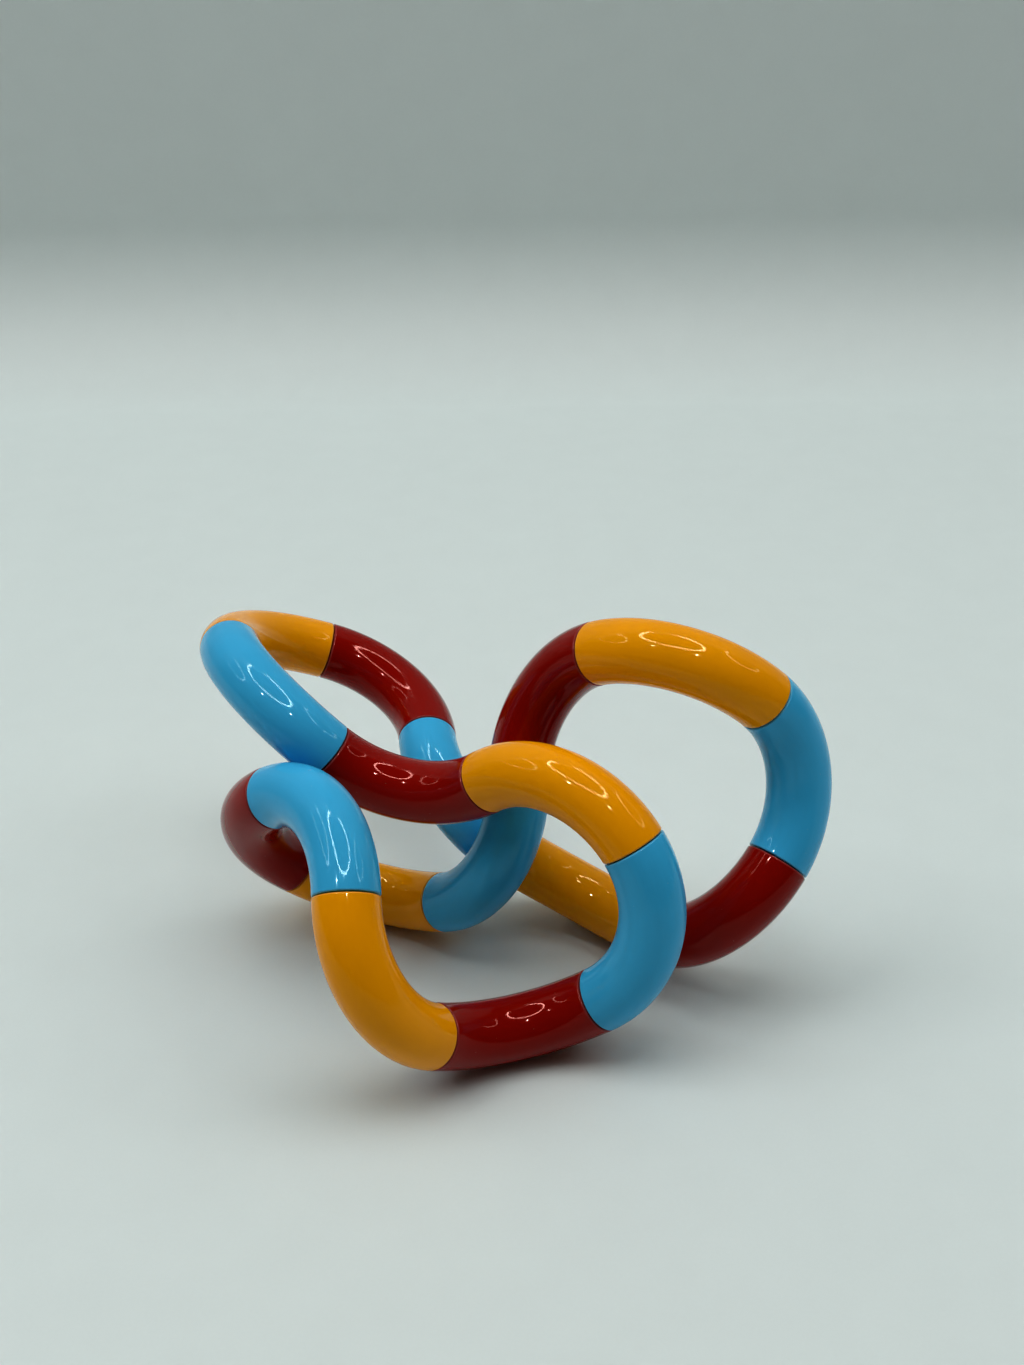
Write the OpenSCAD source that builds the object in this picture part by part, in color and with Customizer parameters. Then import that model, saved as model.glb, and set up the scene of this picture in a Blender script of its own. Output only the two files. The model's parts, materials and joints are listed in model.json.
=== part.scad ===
// Twisty snake puzzle: a closed loop of quarter-circle tubes that swivel on each other.
// Every tube carries a snap pin in its far end, and the pin turns in the next tube's socket.
// The loop stands on three of its tubes. +X runs along its long way and +Z is up.
// The origin is the centre of its footprint, on the surface that it stands on.

/* [Tubes] */
// Outside diameter of a tube
tube_d = 12.2; // [11:0.1:12.8]
// Radius of a tube's centre line
bend_r = 22.5; // [22:0.1:24]
// Thickness of a tube's wall
wall = 1.3; // [1:0.1:1.8]
// Gap between the end faces of two tubes
face_gap = 0.25; // [0.1:0.05:0.3]
// Chamfer round a tube's end edges
chamfer = 0.3; // [0.1:0.05:0.5]

/* [Snap swivels] */
// Thickness of the lip inside each end of a tube
lip_t = 1.6; // [1:0.1:2.4]
// Diameter of the hole in each lip
hole_d = 5.8; // [5:0.1:6.4]
// Radial clearance of a pin in the socket that it turns in
running_gap = 0.05; // [0.02:0.01:0.1]
// Radial clearance of the pin at the open swivel, where the loop's two ends meet
open_gap = 0.4; // [0.2:0.05:0.5]
// End play of a pin's snap head behind the lip
end_play = 0.1; // [0.05:0.05:0.3]
// How far a pin's foot and head stand out past the hole's radius
catch = 0.6; // [0.5:0.05:0.8]
// Length of a pin's foot behind its lip
foot_l = 1.4; // [1:0.1:2]
// Length of a pin's snap head behind its lip
head_l = 2.2; // [1.6:0.1:3]
// Width of the crossed slots that let the snap head spring in
slot_w = 0.9; // [0.6:0.1:1.2]

/* [Turn of each swivel] */
// Turn after tubes 1, 2 and 3, in degrees; the loop's closing shifts every turn by up to 2
turns_a = [75, -57, -14]; // [-180:1:180]
// Turn after tubes 4, 5 and 6
turns_b = [154, 131, -26]; // [-180:1:180]
// Turn after tubes 7, 8 and 9
turns_c = [21, 162, 146]; // [-180:1:180]
// Turn after tubes 10, 11 and 12
turns_d = [-94, 96, -71]; // [-180:1:180]
// Turn after tubes 13, 14 and 15
turns_e = [66, 179, -71]; // [-180:1:180]
// Turn after tubes 16, 17 and 18
turns_f = [9, -72, 79]; // [-180:1:180]

/* [Stand] */
// The three tubes that the loop stands on
feet = [2, 10, 16]; // [1:1:18]
// Compass direction in which tube 1 starts out, anticlockwise from +X seen from above
heading = -88; // [-180:1:180]
// Number of the swivel that is open, so that the row of tubes has two ends
open_swivel = 14; // [1:1:18]

/* [Hidden] */
$fn = 96;
count = 18;
tube_r = tube_d/2;
hole_r = hole_d/2;
face_in = face_gap/2;
lip_in = face_in + lip_t;
closing_rounds = 8;
standing_rounds = 30;
colour_names = ["orange", "red", "blue"];
paints = ["#EFA008", "#9E160D", "#459FCB"];

function two_digits(k) = str(k < 10 ? "0" : "", k);
function colour_of(k) = (k - 1) % len(paints);
function tube_name(k) = str("tube_", two_digits(k), "_", colour_names[colour_of(k)]);
function pin_name(k) = str("snap_pin_", two_digits(k));

// A frame is [point on the centre line, direction along the tube, direction to the bend's centre].
// Frame k of a chain is where tube k + 1 starts.
function bent(f) = [f[0] + bend_r*(f[1] + f[2]), f[2], -f[1]];
function turned(f, a) = [f[0], f[1], cos(a)*f[2] + sin(a)*cross(f[1], f[2])];
function chain(turns, f = [[0, 0, 0], [1, 0, 0], [0, 1, 0]], k = 0) =
    k == len(turns) ? [f] : concat([f], chain(turns, turned(bent(f), turns[k]), k + 1));

// How far the chain's end is from its start: three lengths, and three rotations as arcs at bend_r
function misfit(c) =
    let (a = c[0], z = c[count])
    concat(z[0] - a[0],
        bend_r/2*(cross(a[1], z[1]) + cross(a[2], z[2])
            + cross(cross(a[1], a[2]), cross(z[1], z[2]))));

// Change of the misfit per radian at each swivel
function pull(c) =
    [for (k = [1:count]) concat(cross(c[k][1], c[count][0] - c[k][0]), bend_r*c[k][1])];

function transposed(m) = [for (j = [0:len(m[0]) - 1]) [for (i = [0:len(m) - 1]) m[i][j]]];

// Solution of a*x = b for a symmetric positive a, by elimination
function solved(a, b) =
    len(b) == 1 ? [b[0]/a[0][0]] :
    let (n = len(b) - 1,
        inner = [for (i = [1:n]) [for (j = [1:n]) a[i][j] - a[i][0]*a[0][j]/a[0][0]]],
        rest = solved(inner, [for (i = [1:n]) b[i] - a[i][0]*b[0]/a[0][0]]),
        row = [for (j = [1:n]) a[0][j]])
    concat([(b[0] - row*rest)/a[0][0]], rest);

// The turns after the smallest changes that make the chain close on itself
function closed(turns, rounds = closing_rounds) =
    rounds == 0 ? turns :
    let (c = chain(turns), p = pull(c), force = solved(transposed(p)*p, misfit(c)))
    closed(turns - 180/PI*(p*force), rounds - 1);

// Lowest point of the centre line of the tube that starts at frame f
function lowest(f, up) =
    let (across = up*f[2], along = up*f[1], s = atan2(-along, across),
        at = s >= 0 && s <= 90 ? s : -across < along ? 0 : 90)
    f[0] + bend_r*(f[2]*(1 - cos(at)) + f[1]*sin(at));

function unit(v) = v/norm(v);
function normal(p) = unit(cross(p[1] - p[0], p[2] - p[0]));

// Up direction of a chain that rests on its feet
function standing(c, up, rounds = standing_rounds) =
    rounds == 0 ? up : standing(c, normal([for (k = feet) lowest(c[k - 1], up)]), rounds - 1);

// A chain seen in new axes, and moved
function seen(c, axes) = [for (f = c) [for (v = f) axes*v]];
function moved(c, d) = [for (f = c) [f[0] + d, f[1], f[2]]];

// Furthest reach of the centre line in direction d
function reach(c, d) = max([for (k = [0:count - 1]) lowest(c[k], -d)*d]);
function middle(c, d) = (reach(c, d) - reach(c, -d))/2;

loose = chain(closed(concat(turns_a, turns_b, turns_c, turns_d, turns_e, turns_f)));
up = standing(loose, normal([for (k = feet) loose[k - 1][0]]));
ahead = unit(loose[0][1] - (loose[0][1]*up)*up);
x_axis = cos(heading)*ahead - sin(heading)*cross(up, ahead);
level = seen(loose, [x_axis, cross(up, x_axis), up]);
swivels = moved(level, [-middle(level, [1, 0, 0]), -middle(level, [0, 1, 0]),
    reach(level, [0, 0, -1]) + tube_r]);

// Places children drawn along +X, with the bend's centre towards +Y, at a frame
module at(f) {
    b = cross(f[1], f[2]);
    multmatrix([for (i = [0:2]) [f[1][i], f[2][i], b[i], f[0][i]]]) children();
}

// A quarter bend of a round bar, from the origin along +X and round towards +Y
module quarter_bend(r) {
    translate([0, bend_r, 0])
        rotate(-90)
            rotate_extrude(angle = 90)
                translate([bend_r, 0])
                    circle(r = r);
}

// Things at both ends of a quarter bend, drawn along +X into the tube
module both_ends() {
    children();
    translate([bend_r, bend_r, 0])
        rotate(-90)
            children();
}

module disc(r, from, to) {
    translate([from, 0, 0])
        rotate([0, 90, 0])
            cylinder(r = r, h = to - from);
}

// Ring that cuts the chamfer round an end face
module chamfer_cutter() {
    rotate([0, 90, 0])
        rotate_extrude()
            polygon([[tube_r - chamfer, face_in], [tube_r + 1, face_in],
                [tube_r + 1, face_in + chamfer + 1]]);
}

// Hollow quarter-circle tube with an inward lip at each end
module tube(k) {
    color(paints[colour_of(k)])
        at(swivels[k - 1])
            difference() {
                quarter_bend(tube_r);
                difference() {
                    quarter_bend(tube_r - wall);
                    both_ends() disc(tube_r, -1, lip_in);
                }
                both_ends() {
                    disc(tube_r + 1, -1, face_in);
                    disc(hole_r, -1, lip_in + 1);
                    chamfer_cutter();
                }
            }
}

// Pin pressed into the end of tube k, whose slotted snap head turns in tube k + 1
module snap_pin(k) {
    play = k == open_swivel ? open_gap : running_gap;
    head_z = lip_in + end_play;
    head_r = hole_r + catch - play;
    neck_r = hole_r - play;
    tip_r = neck_r - catch;
    color("gainsboro")
        at(swivels[k])
            rotate([0, 90, 0])
                difference() {
                    rotate_extrude()
                        polygon([[0, -lip_in - foot_l], [hole_r, -lip_in - foot_l],
                            [hole_r + catch, -lip_in - foot_l + catch], [hole_r + catch, -lip_in],
                            [hole_r, -lip_in], [hole_r, -face_in], [neck_r, -face_in],
                            [neck_r, head_z], [head_r, head_z], [head_r, head_z + catch],
                            [tip_r, head_z + head_l], [0, head_z + head_l]]);
                    for (side = [0, 90])
                        rotate(side)
                            translate([-tube_r, -slot_w/2, -face_in])
                                cube([tube_d, slot_w, lip_in + head_z + head_l]);
                }
}

for (k = [1:count]) {
    tube(k);
    snap_pin(k);
}
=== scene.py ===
# Twisty snake puzzle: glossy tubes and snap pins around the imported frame, on a studio stage.
# Lengths are in metres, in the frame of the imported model.

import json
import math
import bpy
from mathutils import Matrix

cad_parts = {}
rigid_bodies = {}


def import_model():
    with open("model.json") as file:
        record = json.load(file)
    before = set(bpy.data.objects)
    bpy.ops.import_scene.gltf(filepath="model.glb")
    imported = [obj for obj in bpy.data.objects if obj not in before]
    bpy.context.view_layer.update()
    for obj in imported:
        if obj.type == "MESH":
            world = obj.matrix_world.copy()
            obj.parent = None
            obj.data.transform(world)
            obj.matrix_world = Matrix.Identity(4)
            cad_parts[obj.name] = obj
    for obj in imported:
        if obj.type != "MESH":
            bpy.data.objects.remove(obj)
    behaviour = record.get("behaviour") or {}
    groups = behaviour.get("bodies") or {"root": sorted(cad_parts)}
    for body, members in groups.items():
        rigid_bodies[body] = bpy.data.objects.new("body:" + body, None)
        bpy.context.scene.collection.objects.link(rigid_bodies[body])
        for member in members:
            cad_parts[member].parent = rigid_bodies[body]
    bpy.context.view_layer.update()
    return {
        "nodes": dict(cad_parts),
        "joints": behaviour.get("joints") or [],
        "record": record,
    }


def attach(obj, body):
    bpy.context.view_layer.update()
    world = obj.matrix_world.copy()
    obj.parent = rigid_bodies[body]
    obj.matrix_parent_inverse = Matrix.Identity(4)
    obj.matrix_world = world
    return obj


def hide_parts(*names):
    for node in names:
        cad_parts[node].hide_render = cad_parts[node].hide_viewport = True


bl_info = {
    "name": "Twisty Snake Puzzle",
    "version": (1, 0, 0),
    "blender": (4, 5, 0),
    "location": "View3D > Sidebar > Snake Puzzle",
    "description": "Builds the glossy tubes of a twisty snake puzzle around its frame",
    "category": "Object",
}

import bmesh
import bpy
from bpy.props import FloatProperty, FloatVectorProperty, IntProperty, PointerProperty
from mathutils import Matrix, Vector

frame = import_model()

MILLIMETRE = 0.001
BODY_OF_NODE = {
    node: body
    for body, members in frame["record"]["behaviour"]["bodies"].items()
    for node in members
}
TUBE_NODES = sorted(name for name in frame["nodes"] if name.startswith("tube_"))
PIN_NODES = sorted(name for name in frame["nodes"] if name.startswith("snap_pin_"))
TUBE_COUNT = len(TUBE_NODES)

ON_PLANE = 1e-6       # a vertex this near to a plane is in it
SAME_PLACE = 1e-7     # vertices this near to each other are merged
RIM_ANGLE = math.radians(60)      # least angle at an end's edge that is rounded
SHARP_ANGLE = math.radians(35)    # edges from this angle on are shaded sharp
ROUND_SEGMENTS = 4

PAPER_HALF_WIDTH = 4.0
PAPER_FRONT = -4.0
BACKDROP_HEIGHT = 1.2
SWEEP_STEPS = 32

# The ring lamps show in the gloss only: name, place over the floor, strength.
RING_LAMPS = (
    ("ring_lamp", (-0.05, 0.0), 34.0),
    ("ring_lamp_left", (-1.1, 0.15), 11.0),
    ("ring_lamp_right", (1.05, 0.15), 11.0),
)
RING_BAND = 0.034
RING_SEGMENTS = 96
RING_COLOUR = (1.0, 0.97, 0.93)

# The soft lights light the scene and stay out of the gloss: name, place, power in watts.
SOFT_LIGHTS = (
    ("soft_centre", (0, 0.1, 1.4), 6.6),
    ("soft_left", (-0.9, 0.1, 1.2), 7.4),
    ("soft_right", (0.9, 0.1, 1.2), 5.2),
)
SOFT_SIZE = 1.0

# The spots put small points in the gloss and light nothing else: name, place, power in watts.
SPOT_LIGHTS = (
    ("spot_near", (0.13, -0.68, 1.1), 7.0),
    ("spot_far", (-0.55, -0.5, 1.1), 7.0),
)
SPOT_SIZE = 0.012
LIGHT_COLOUR = (0.98, 1.0, 0.99)

ROOM_COLOUR = (1.0, 0.72, 0.55)
ROOM_STRENGTH = 0.045


def wrapped(number):
    """A swivel's or a tube's number, counted round the closed loop."""
    return (number - 1) % TUBE_COUNT + 1


def read_swivels():
    """Where each swivel is and which way the row of tubes runs through it, by number.

    Swivel k is at the far end of tube k. One swivel of the loop is open and has no joint, so
    its place follows from the tubes on either side of it.
    """
    places, ahead = {}, {}
    for joint in frame["joints"]:
        number = int(joint["name"].split("_")[-1])
        forwards = joint["parent"] == BODY_OF_NODE[TUBE_NODES[number - 1]]
        places[number] = Vector(joint["pos_m"])
        ahead[number] = Vector(joint["axis"]) * (1 if forwards else -1)
    bend = (places[2] - places[1]).length / math.sqrt(2)
    opened = next(n for n in range(1, TUBE_COUNT + 1) if n not in places)
    before, after = wrapped(opened - 1), wrapped(opened + 1)
    span = places[after] - places[before]
    ahead[opened] = ((span - bend * (ahead[before] + ahead[after])) / (2 * bend)).normalized()
    places[opened] = places[before] + bend * (ahead[before] + ahead[opened])
    return places, ahead, bend


PLACES, AHEAD, BEND = read_swivels()


def read_tube_radius():
    """Radius of a tube, from the furthest that the first one reaches from its bend's centre."""
    centre = PLACES[TUBE_COUNT] + BEND * AHEAD[1]
    reach = max((v.co - centre).length for v in frame["nodes"][TUBE_NODES[0]].data.vertices)
    return round((reach - BEND) / MILLIMETRE, 1) * MILLIMETRE


class SnakeTubeSizes(bpy.types.PropertyGroup):
    """Sizes of a tube."""

    radius: FloatProperty(
        name="Radius", description="Outside radius of a tube",
        default=read_tube_radius(), min=0.004, max=0.01, unit="LENGTH")
    wall: FloatProperty(
        name="Wall", description="Thickness of a tube's wall",
        default=0.0013, min=0.0008, max=0.002, unit="LENGTH")
    face_inset: FloatProperty(
        name="Face inset", description="Distance from a swivel's plane to a tube's end face",
        default=0.000125, min=0.00005, max=0.0002, unit="LENGTH")
    lip: FloatProperty(
        name="Lip", description="Thickness of the lip inside each end",
        default=0.0016, min=0.001, max=0.0024, unit="LENGTH")
    hole: FloatProperty(
        name="Hole", description="Radius of the hole through each lip",
        default=0.0029, min=0.0025, max=0.0032, unit="LENGTH")
    edge_round: FloatProperty(
        name="Edge round", description="Radius of the rounding along each end's outer edge",
        default=0.0003, min=0.0001, max=0.0005, unit="LENGTH")
    around: IntProperty(
        name="Around", description="Number of faces round a tube",
        default=80, min=24, max=128)
    along: IntProperty(
        name="Along", description="Number of faces along a tube",
        default=40, min=12, max=64)


class SnakeFinish(bpy.types.PropertyGroup):
    """Colours and gloss of the mouldings."""

    orange: FloatVectorProperty(
        name="Orange", description="Colour of the orange tubes",
        default=(0.93, 0.355, 0.001), subtype="COLOR", min=0, max=1)
    red: FloatVectorProperty(
        name="Red", description="Colour of the red tubes",
        default=(0.255, 0.004, 0.001), subtype="COLOR", min=0, max=1)
    blue: FloatVectorProperty(
        name="Blue", description="Colour of the blue tubes",
        default=(0.055, 0.43, 0.74), subtype="COLOR", min=0, max=1)
    pin: FloatVectorProperty(
        name="Pin", description="Colour of the snap pins",
        default=(0.62, 0.61, 0.56), subtype="COLOR", min=0, max=1)
    gloss_roughness: FloatProperty(
        name="Gloss roughness", description="Roughness of a tube's clean surface",
        default=0.045, min=0, max=1, subtype="FACTOR")
    pin_roughness: FloatProperty(
        name="Pin roughness", description="Roughness of a snap pin",
        default=0.42, min=0, max=1, subtype="FACTOR")


class SnakeStage(bpy.types.PropertyGroup):
    """The camera, the lamps and the paper that the puzzle stands on."""

    paper: FloatVectorProperty(
        name="Paper", description="Colour of the paper",
        default=(0.70, 0.77, 0.765), subtype="COLOR", min=0, max=1)
    sweep_start: FloatProperty(
        name="Sweep start", description="Distance from the puzzle to where the paper curves up",
        default=0.30, min=0.25, max=1, unit="LENGTH")
    sweep_radius: FloatProperty(
        name="Sweep radius", description="Radius of the paper's curve",
        default=0.055, min=0.05, max=1, unit="LENGTH")
    lamp_height: FloatProperty(
        name="Lamp height", description="Height of the ring lamps",
        default=1.0, min=0.6, max=3, unit="LENGTH")
    lamp_radius: FloatProperty(
        name="Lamp radius", description="Radius of a ring lamp",
        default=0.38, min=0.1, max=1, unit="LENGTH")
    view_azimuth: FloatProperty(
        name="View azimuth", description="Direction that the camera looks in, from +Y towards -X",
        default=math.radians(0.1), subtype="ANGLE")
    view_elevation: FloatProperty(
        name="View elevation", description="Angle that the camera looks down at",
        default=math.radians(31.4), subtype="ANGLE")
    view_roll: FloatProperty(
        name="View roll", description="Turn of the camera about its own view",
        default=math.radians(-0.9), subtype="ANGLE")
    view_distance: FloatProperty(
        name="View distance", description="Distance from the camera to the point it looks at",
        default=0.294, min=0.1, max=2, unit="LENGTH")
    view_target: FloatVectorProperty(
        name="View target", description="Point that the camera looks at",
        default=(0.0017, 0.0103, 0.0544), subtype="TRANSLATION", unit="LENGTH")
    focal_length: FloatProperty(
        name="Focal length", description="Focal length on a 36 mm long side",
        default=39.8, min=20, max=200, unit="CAMERA")


# Shader graphs


class Wire:
    """A socket of a node tree, or the tree alone. Arithmetic on wires adds Math nodes."""

    def __init__(self, tree, socket=None):
        self.tree = tree
        self.socket = socket

    def node(self, kind, settings=None, inputs=None, output=0):
        """Adds a node: its settings first, then a value or a wire for each socket named."""
        made = self.tree.nodes.new(kind)
        for name, value in (settings or {}).items():
            setattr(made, name, value)
        for name, value in (inputs or {}).items():
            if isinstance(value, Wire):
                self.tree.links.new(value.socket, made.inputs[name])
            else:
                made.inputs[name].default_value = value
        return Wire(self.tree, made.outputs[output] if made.outputs else None)

    def sum(self, operation, first, second):
        return self.node("ShaderNodeMath", {"operation": operation}, {0: first, 1: second})

    def __add__(self, other):
        return self.sum("ADD", self, other)

    def __radd__(self, other):
        return self.sum("ADD", other, self)

    def __sub__(self, other):
        return self.sum("SUBTRACT", self, other)

    def __rsub__(self, other):
        return self.sum("SUBTRACT", other, self)

    def __mul__(self, other):
        return self.sum("MULTIPLY", self, other)

    def __rmul__(self, other):
        return self.sum("MULTIPLY", other, self)


def new_material(name):
    """An empty node material and the wire that adds nodes to it."""
    material = bpy.data.materials.new(name)
    material.use_nodes = True
    material.node_tree.nodes.clear()
    return material, Wire(material.node_tree)


def noise(graph, place, size, detail, stretch=(1, 1, 1)):
    """Noise whose features are about one size across, in metres, times the stretch."""
    scaled = graph.node(
        "ShaderNodeMapping", {}, {"Vector": place, "Scale": [1 / (size * s) for s in stretch]})
    return graph.node("ShaderNodeTexNoise", {}, {"Vector": scaled, "Scale": 1.0, "Detail": detail})


def ramped(graph, value, low, high, to_low=0.0, to_high=1.0):
    """A smooth step from to_low to to_high while the value goes from low to high."""
    return graph.node(
        "ShaderNodeMapRange", {"interpolation_type": "SMOOTHSTEP"},
        {"Value": value, 1: low, 2: high, 3: to_low, 4: to_high})


def mixed(graph, factor, first, second):
    """Two colours mixed by a factor."""
    return graph.node(
        "ShaderNodeMix", {"data_type": "RGBA"}, {0: factor, 6: first, 7: second}, output=2)


def finished(graph, shader):
    """Puts a shader on its tree's surface."""
    graph.node("ShaderNodeOutputMaterial", {}, {"Surface": shader})


def bumped(graph, height):
    """The normal over a surface of a height, in metres."""
    return graph.node("ShaderNodeBump", {}, {"Height": height, "Distance": 1.0})


def specks(graph, place, spacing, radius):
    """Round specks of up to a radius, one in a cell of the spacing at most."""
    far = graph.node(
        "ShaderNodeTexVoronoi", {"feature": "F1"},
        {"Vector": place, "Scale": 1 / spacing, "Randomness": 1.0})
    return ramped(graph, far, radius / spacing, 0.6 * radius / spacing)


def shaded(colour, factor):
    """A colour times a factor, as four numbers."""
    return [min(1.0, part * factor) for part in colour] + [1.0]


def gloss_tint(colour):
    """A paler version of a colour, which tints the gloss over it."""
    return [0.35 + 0.65 * (part / max(colour)) ** 0.5 for part in colour] + [1.0]


def moulded_plastic(name, colour, roughness):
    """Glossy moulded plastic: faint flow streaks, ripples, hairlines, dust and worn ends."""
    material, graph = new_material(name)
    place = graph.node("ShaderNodeTexCoord", output="Object")
    straight = graph.node("ShaderNodeAttribute", {"attribute_name": "straight"}, output="Vector")
    from_end = graph.node("ShaderNodeAttribute", {"attribute_name": "from_end"}, output="Fac")

    clouds = noise(graph, place, size=0.012, detail=3.0)
    streaks = noise(graph, straight, size=0.0006, detail=3.0, stretch=(1, 1, 14))
    ripples = noise(graph, straight, size=0.0035, detail=1.0, stretch=(1, 1, 1.6))
    grain = noise(graph, straight, size=0.00022, detail=2.0)
    scratches = noise(graph, straight, size=0.00035, detail=1.0, stretch=(1, 1, 22))
    hairlines = ramped(graph, scratches, low=0.66, high=0.74)
    hazes = noise(graph, place, size=0.008, detail=4.0)
    smudges = ramped(graph, hazes, low=0.52, high=0.72)
    dust = specks(graph, place, spacing=0.0021, radius=0.00007)
    worn = ramped(graph, from_end, low=0.0006, high=0.00015)

    body = mixed(graph, clouds, shaded(colour, 0.90), shaded(colour, 1.08))
    body = mixed(graph, streaks * 0.22, body, shaded(colour, 1.22))
    pale = [0.75 * part + 0.14 for part in colour] + [1.0]
    body = mixed(graph, worn * 0.30, body, pale)
    body = mixed(graph, dust * 0.35, body, [0.62, 0.60, 0.56, 1.0])

    rough = roughness + 0.03 * streaks + 0.04 * smudges + 0.10 * worn
    rough = rough + 0.25 * dust + 0.06 * hairlines
    height = 1.5e-6 * ripples + 2.5e-7 * grain + 3e-7 * streaks - 8e-7 * hairlines + 4e-6 * dust
    shader = graph.node(
        "ShaderNodeBsdfPrincipled", {},
        {"Base Color": body, "Roughness": rough, "Normal": bumped(graph, height), "IOR": 1.5,
         "Specular IOR Level": 0.3, "Specular Tint": gloss_tint(colour)})
    finished(graph, shader)
    return material


def natural_plastic(name, colour, roughness):
    """Undyed, slightly waxy plastic of the snap pins, with fine mould grain."""
    material, graph = new_material(name)
    place = graph.node("ShaderNodeTexCoord", output="Object")
    clouds = noise(graph, place, size=0.002, detail=3.0)
    grain = noise(graph, place, size=0.00015, detail=2.0)
    body = mixed(graph, clouds, shaded(colour, 0.88), shaded(colour, 1.05))
    shader = graph.node(
        "ShaderNodeBsdfPrincipled", {},
        {"Base Color": body, "Roughness": roughness + 0.12 * grain,
         "Normal": bumped(graph, 2e-6 * grain)})
    finished(graph, shader)
    return material


def paper_material(name, colour):
    """Smooth pale paper with a barely visible mottle."""
    material, graph = new_material(name)
    place = graph.node("ShaderNodeTexCoord", output="Object")
    mottle = noise(graph, place, size=0.012, detail=5.0)
    fibres = noise(graph, place, size=0.0006, detail=3.0)
    body = mixed(graph, mottle * 0.6 + fibres * 0.4, shaded(colour, 0.965), shaded(colour, 1.03))
    shader = graph.node(
        "ShaderNodeBsdfPrincipled", {},
        {"Base Color": body, "Roughness": 0.62, "Normal": bumped(graph, 6e-6 * fibres),
         "Specular IOR Level": 0.3})
    finished(graph, shader)
    return material


def lamp_material(name, colour, strength):
    """Even glow of a ring lamp."""
    material, graph = new_material(name)
    shader = graph.node("ShaderNodeEmission", {}, {"Color": [*colour, 1.0], "Strength": strength})
    finished(graph, shader)
    return material


# Shapes


def everything(bm):
    return bm.verts[:] + bm.edges[:] + bm.faces[:]


def unbent(point):
    """A point of a tube after the tube is straightened along +Z."""
    x, y, z = point
    return Vector((math.hypot(x, BEND - y) - BEND, z, BEND * math.atan2(x, BEND - y)))


def off_centre(vert):
    """Distance from a vertex to the tube's centre line."""
    return unbent(vert.co).xy.length


def add_wall(bm, radius, sizes):
    """Quarter-circle wall of a radius, from the origin along +X and round towards +Y."""
    ring = bmesh.ops.create_circle(
        bm, cap_ends=False, radius=radius, segments=sizes.around,
        matrix=Matrix.Rotation(math.pi / 2, 4, "Y"))["verts"]
    rim = {edge for vert in ring for edge in vert.link_edges}
    bmesh.ops.spin(
        bm, geom=ring + list(rim), cent=(0, BEND, 0), axis=(0, 0, 1), dvec=(0, 0, 0),
        angle=math.pi / 2, steps=sizes.along, use_merge=False, use_duplicate=False)


def look_towards(bm, direction):
    """Turns all faces over if most of them look away from a direction."""
    if sum(face.normal.dot(direction) for face in bm.faces) < 0:
        bmesh.ops.reverse_faces(bm, faces=bm.faces[:])


def cut_both_ends(bm, depth, trim):
    """Cuts along planes at a depth from both ends, and trims what is outside them."""
    for point, outwards in (
        (Vector((depth, 0, 0)), Vector((-1, 0, 0))),
        (Vector((BEND, BEND - depth, 0)), Vector((0, 1, 0))),
    ):
        bmesh.ops.bisect_plane(
            bm, geom=everything(bm), dist=1e-9, plane_co=point, plane_no=outwards,
            clear_outer=trim)


def depth_of(vert):
    """Distance from a vertex to the plane of the nearer end."""
    return min(vert.co.x, BEND - vert.co.y)


def open_rim(bm, depth, at_start):
    """Open edges in the plane at a depth from the tube's start or from its other end."""
    return [
        edge for edge in bm.edges
        if len(edge.link_faces) < 2
        and all(abs(depth_of(vert) - depth) < ON_PLANE for vert in edge.verts)
        and (edge.verts[0].co.x < BEND / 2) == at_start
    ]


def pulled_rim(bm, rim, moved):
    """Extrudes a rim and puts each new vertex where a function moves it."""
    made = bmesh.ops.extrude_edge_only(bm, edges=rim)["geom"]
    for item in made:
        if isinstance(item, bmesh.types.BMVert):
            item.co = moved(item.co)
    return [item for item in made if isinstance(item, bmesh.types.BMEdge)]


def add_lip(bm, sizes, at_start):
    """End face, round hole and inner face of the lip at one end, joined to both walls."""
    if at_start:
        inwards = Vector((1, 0, 0))
        centre = sizes.face_inset * inwards
    else:
        inwards = Vector((0, -1, 0))
        centre = Vector((BEND, BEND, 0)) + sizes.face_inset * inwards
    inner_rim = open_rim(bm, sizes.face_inset + sizes.lip, at_start)
    inner_places = [vert.co.copy() for vert in {v for edge in inner_rim for v in edge.verts}]

    rim = open_rim(bm, sizes.face_inset, at_start)
    rim = pulled_rim(bm, rim, lambda co: centre + sizes.hole * (co - centre).normalized())
    rim = pulled_rim(bm, rim, lambda co: co + sizes.lip * inwards)
    pulled_rim(bm, rim, lambda co: min(inner_places, key=lambda place: (place - co).length))


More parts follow.
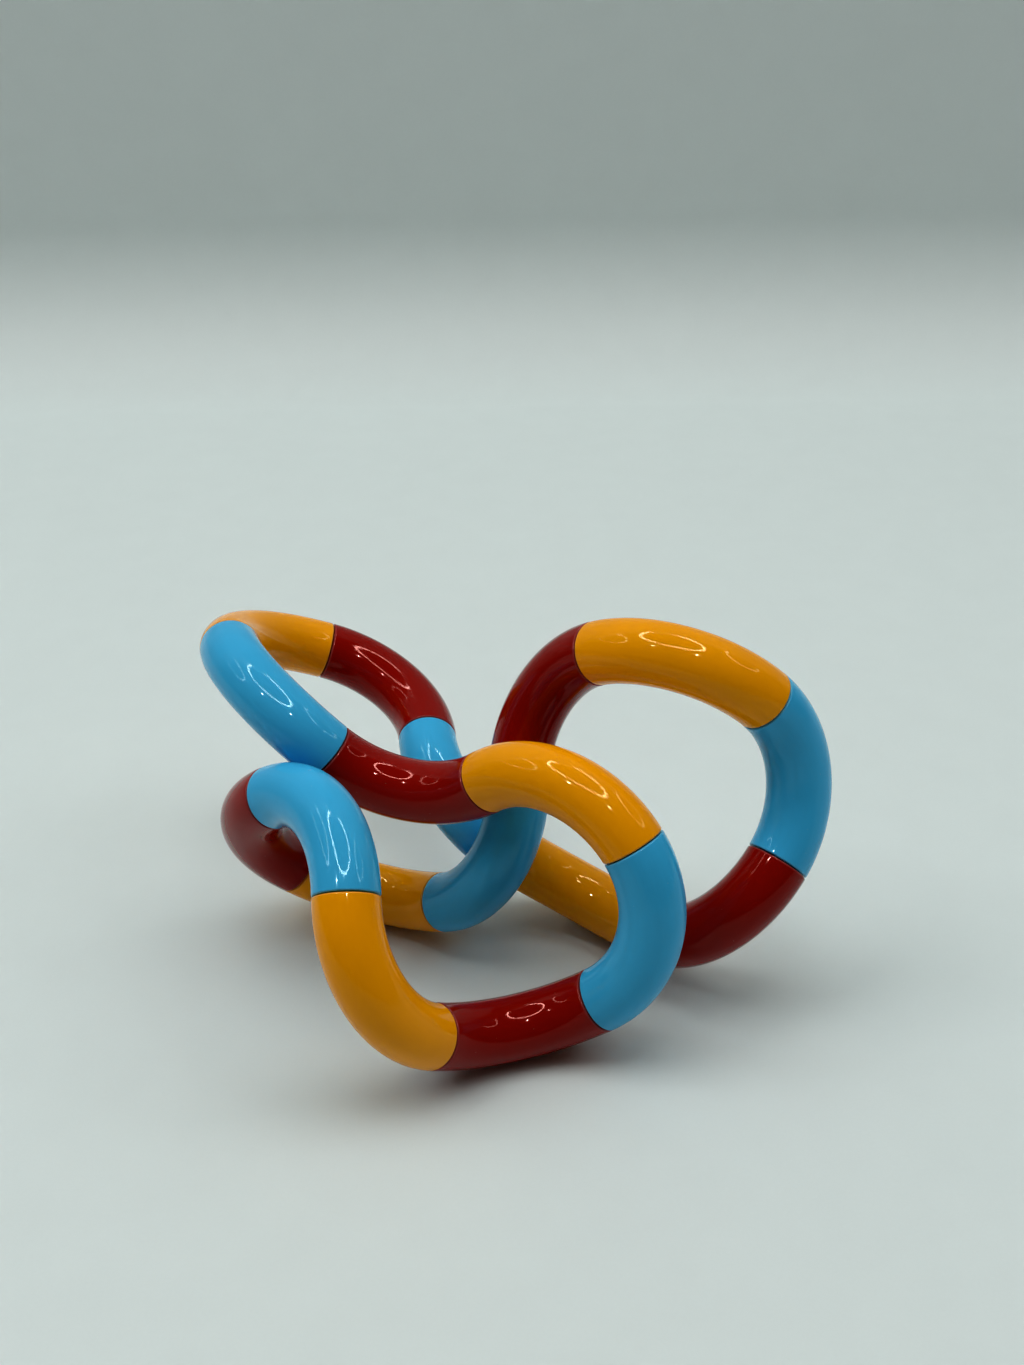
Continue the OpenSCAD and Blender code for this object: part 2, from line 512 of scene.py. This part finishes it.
def tube_shape(sizes):
    """One hollow tube as a closed bmesh, from the origin along +X and round towards +Y."""
    bm = bmesh.new()
    lip_depth = sizes.face_inset + sizes.lip
    add_wall(bm, sizes.radius - sizes.wall, sizes)
    cut_both_ends(bm, lip_depth, trim=True)
    add_wall(bm, sizes.radius, sizes)
    cut_both_ends(bm, sizes.face_inset, trim=True)
    cut_both_ends(bm, sizes.face_inset + 1.15 * sizes.edge_round, trim=False)

    for at_start in (True, False):
        add_lip(bm, sizes, at_start)
    bmesh.ops.remove_doubles(bm, verts=bm.verts[:], dist=SAME_PLACE)
    slivers = [edge for edge in bm.edges if len(edge.link_faces) < 2]
    bmesh.ops.holes_fill(bm, edges=slivers, sides=3)

    rims = [
        edge for edge in bm.edges
        if all(abs(depth_of(vert) - sizes.face_inset) < ON_PLANE for vert in edge.verts)
        and edge.calc_face_angle(0) > RIM_ANGLE
        and min(off_centre(vert) for vert in edge.verts) > (sizes.radius + sizes.hole) / 2
    ]
    bmesh.ops.bevel(
        bm, geom=rims, offset=sizes.edge_round, offset_type="OFFSET", affect="EDGES",
        segments=ROUND_SEGMENTS, profile=0.5, material=-1)
    bmesh.ops.remove_doubles(bm, verts=bm.verts[:], dist=SAME_PLACE)
    bmesh.ops.recalc_face_normals(bm, faces=bm.faces[:])
    for face in bm.faces:
        face.smooth = True
    for edge in bm.edges:
        edge.smooth = edge.calc_face_angle(0) < SHARP_ANGLE
    return bm


def store_attributes(mesh, number):
    """Keeps each vertex's unbent place, and its distance from the nearer end, for the shaders."""
    own_stretch = Vector((0, 0, 0.1 * number))
    straight = [part for vert in mesh.vertices for part in unbent(vert.co) + own_stretch]
    mesh.attributes.new("straight", "FLOAT_VECTOR", "POINT").data.foreach_set("vector", straight)
    from_end = [depth_of(vert) for vert in mesh.vertices]
    mesh.attributes.new("from_end", "FLOAT", "POINT").data.foreach_set("value", from_end)


def tube_place(number):
    """Turns a tube modelled from the origin to its place in the row."""
    before = wrapped(number - 1)
    along, inwards = AHEAD[before], AHEAD[number]
    place = Matrix((along, inwards, along.cross(inwards))).transposed().to_4x4()
    place.translation = PLACES[before]
    return place


def mesh_of(name, bm):
    """A mesh with the shape of a bmesh, which is freed."""
    mesh = bpy.data.meshes.new(name)
    bm.to_mesh(mesh)
    bm.free()
    return mesh


def add_object(name, mesh, material):
    made = bpy.data.objects.new(name, mesh)
    bpy.context.scene.collection.objects.link(made)
    mesh.materials.append(material)
    return made


def build_tubes(context, colour_name, colour):
    """Every tube of one colour, each riding on its own link."""
    nodes = [node for node in TUBE_NODES if node.endswith(colour_name)]
    if not nodes:
        raise RuntimeError(f"the frame has no {colour_name} tubes")
    sizes = context.scene.snake_tube_sizes
    finish = context.scene.snake_finish
    material = moulded_plastic(f"{colour_name}_moulding", colour, finish.gloss_roughness)
    shape = tube_shape(sizes)
    for node in nodes:
        number = int(node.split("_")[1])
        mesh = bpy.data.meshes.new(f"shell_{number:02d}_{colour_name}")
        shape.to_mesh(mesh)
        store_attributes(mesh, number)
        mesh.transform(tube_place(number))
        shell = add_object(mesh.name, mesh, material)
        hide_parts(node)
        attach(shell, BODY_OF_NODE[node])
    shape.free()


# Stage


def build_paper(stage):
    """Floor that runs back from under the puzzle and curves up into a backdrop."""
    bm = bmesh.new()
    left, right = (
        bm.verts.new((side * PAPER_HALF_WIDTH, PAPER_FRONT, 0)) for side in (-1, 1))
    floor = Vector((0, stage.sweep_start - PAPER_FRONT, 0))
    backdrop = Vector((0, 0, BACKDROP_HEIGHT))

    edges = pulled_rim(bm, [bm.edges.new((left, right))], lambda co: co + floor)
    verts = list({vert for edge in edges for vert in edge.verts})
    turned = bmesh.ops.spin(
        bm, geom=verts + edges, cent=(0, stage.sweep_start, stage.sweep_radius),
        axis=(1, 0, 0), dvec=(0, 0, 0), angle=math.pi / 2, steps=SWEEP_STEPS,
        use_merge=False, use_duplicate=False)["geom_last"]
    edges = [item for item in turned if isinstance(item, bmesh.types.BMEdge)]
    pulled_rim(bm, edges, lambda co: co + backdrop)
    bmesh.ops.recalc_face_normals(bm, faces=bm.faces[:])
    look_towards(bm, Vector((0, 0, 1)))
    for face in bm.faces:
        face.smooth = True
    return add_object("paper", mesh_of("paper", bm), paper_material("paper", stage.paper))


def build_ring_lamp(name, stage, place, strength):
    """A flat glowing ring over the puzzle, which only the gloss shows."""
    bm = bmesh.new()
    centre = Matrix.Translation((*place, stage.lamp_height))
    for side in (-1, 1):
        bmesh.ops.create_circle(
            bm, cap_ends=False, radius=stage.lamp_radius + side * RING_BAND / 2,
            segments=RING_SEGMENTS, matrix=centre)
    bmesh.ops.bridge_loops(bm, edges=bm.edges[:])
    look_towards(bm, Vector((0, 0, -1)))
    lamp = add_object(name, mesh_of(name, bm), lamp_material(name, RING_COLOUR, strength))
    lamp.visible_camera = False
    lamp.visible_diffuse = False
    return lamp


def build_light(name, kind, place, power, **settings):
    """A light that looks at the middle of the puzzle's foot."""
    light = bpy.data.lights.new(name, kind)
    light.energy = power
    light.color = LIGHT_COLOUR
    for setting, value in settings.items():
        setattr(light, setting, value)
    made = bpy.data.objects.new(name, light)
    made.location = place
    made.rotation_euler = (-Vector(place)).to_track_quat("-Z", "Y").to_euler()
    bpy.context.scene.collection.objects.link(made)
    return made


def build_lamps(stage):
    """The ring lamps and the lights, each seen either in the gloss or in the rest."""
    for name, place, strength in RING_LAMPS:
        build_ring_lamp(name, stage, place, strength)
    for name, place, power in SOFT_LIGHTS:
        soft = build_light(name, "AREA", place, power, shape="DISK", size=SOFT_SIZE)
        soft.visible_glossy = False
    for name, place, power in SPOT_LIGHTS:
        spot = build_light(name, "POINT", place, power, shadow_soft_size=SPOT_SIZE)
        spot.visible_diffuse = False


def build_world(colour, strength):
    world = bpy.data.worlds.new("studio")
    world.use_nodes = True
    world.node_tree.nodes.clear()
    graph = Wire(world.node_tree)
    shader = graph.node("ShaderNodeBackground", {}, {"Color": [*colour, 1], "Strength": strength})
    graph.node("ShaderNodeOutputWorld", {}, {"Surface": shader})
    bpy.context.scene.world = world


def build_camera(stage):
    """Camera on a sphere round the point that it looks at, a touch rolled."""
    camera = bpy.data.cameras.new("camera")
    camera.sensor_width = 36
    camera.lens = stage.focal_length
    camera.clip_start = 0.01
    azimuth, elevation = stage.view_azimuth, stage.view_elevation
    back = Vector((
        math.sin(azimuth) * math.cos(elevation),
        -math.cos(azimuth) * math.cos(elevation),
        math.sin(elevation)))
    made = bpy.data.objects.new("camera", camera)
    made.matrix_world = (
        Matrix.Translation(Vector(stage.view_target) + stage.view_distance * back)
        @ (-back).to_track_quat("-Z", "Y").to_matrix().to_4x4()
        @ Matrix.Rotation(stage.view_roll, 4, "Z"))
    bpy.context.scene.collection.objects.link(made)
    bpy.context.scene.camera = made


# Operators


class SNAKE_OT_orange_tubes(bpy.types.Operator):
    """Build the orange tubes"""

    bl_idname = "snake.orange_tubes"
    bl_label = "Orange Tubes"

    def execute(self, context):
        build_tubes(context, "orange", context.scene.snake_finish.orange)
        return {"FINISHED"}


class SNAKE_OT_red_tubes(bpy.types.Operator):
    """Build the red tubes"""

    bl_idname = "snake.red_tubes"
    bl_label = "Red Tubes"

    def execute(self, context):
        build_tubes(context, "red", context.scene.snake_finish.red)
        return {"FINISHED"}


class SNAKE_OT_blue_tubes(bpy.types.Operator):
    """Build the blue tubes"""

    bl_idname = "snake.blue_tubes"
    bl_label = "Blue Tubes"

    def execute(self, context):
        build_tubes(context, "blue", context.scene.snake_finish.blue)
        return {"FINISHED"}


class SNAKE_OT_snap_pins(bpy.types.Operator):
    """Give the snap pins their undyed plastic"""

    bl_idname = "snake.snap_pins"
    bl_label = "Snap Pins"

    def execute(self, context):
        finish = context.scene.snake_finish
        material = natural_plastic("natural_moulding", finish.pin, finish.pin_roughness)
        for node in PIN_NODES:
            pin = frame["nodes"][node]
            pin.data.materials.clear()
            pin.data.materials.append(material)
        return {"FINISHED"}


class SNAKE_OT_stage(bpy.types.Operator):
    """Set up the paper, the lamps and the camera"""

    bl_idname = "snake.stage"
    bl_label = "Stage"

    def execute(self, context):
        stage = context.scene.snake_stage
        build_camera(stage)
        build_paper(stage)
        build_lamps(stage)
        build_world(ROOM_COLOUR, ROOM_STRENGTH)
        context.scene.view_settings.view_transform = "Standard"
        context.scene.view_settings.look = "Medium High Contrast"
        return {"FINISHED"}


class SNAKE_PT_panel(bpy.types.Panel):
    """Sidebar panel with the puzzle's operators"""

    bl_idname = "SNAKE_PT_panel"
    bl_label = "Snake Puzzle"
    bl_space_type = "VIEW_3D"
    bl_region_type = "UI"
    bl_category = "Snake Puzzle"

    def draw(self, context):
        for operator in OPERATORS:
            self.layout.operator(operator.bl_idname)


OPERATORS = (
    SNAKE_OT_orange_tubes,
    SNAKE_OT_red_tubes,
    SNAKE_OT_blue_tubes,
    SNAKE_OT_snap_pins,
    SNAKE_OT_stage,
)
GROUPS = {
    "snake_tube_sizes": SnakeTubeSizes,
    "snake_finish": SnakeFinish,
    "snake_stage": SnakeStage,
}
CLASSES = (*GROUPS.values(), *OPERATORS, SNAKE_PT_panel)


def register():
    for cls in CLASSES:
        bpy.utils.register_class(cls)
    for name, group in GROUPS.items():
        setattr(bpy.types.Scene, name, PointerProperty(type=group))


def unregister():
    for name in GROUPS:
        delattr(bpy.types.Scene, name)
    for cls in reversed(CLASSES):
        bpy.utils.unregister_class(cls)


def main():
    register()
    bpy.ops.snake.orange_tubes()
    bpy.ops.snake.red_tubes()
    bpy.ops.snake.blue_tubes()
    bpy.ops.snake.snap_pins()
    bpy.ops.snake.stage()


if __name__ == "__main__":
    main()
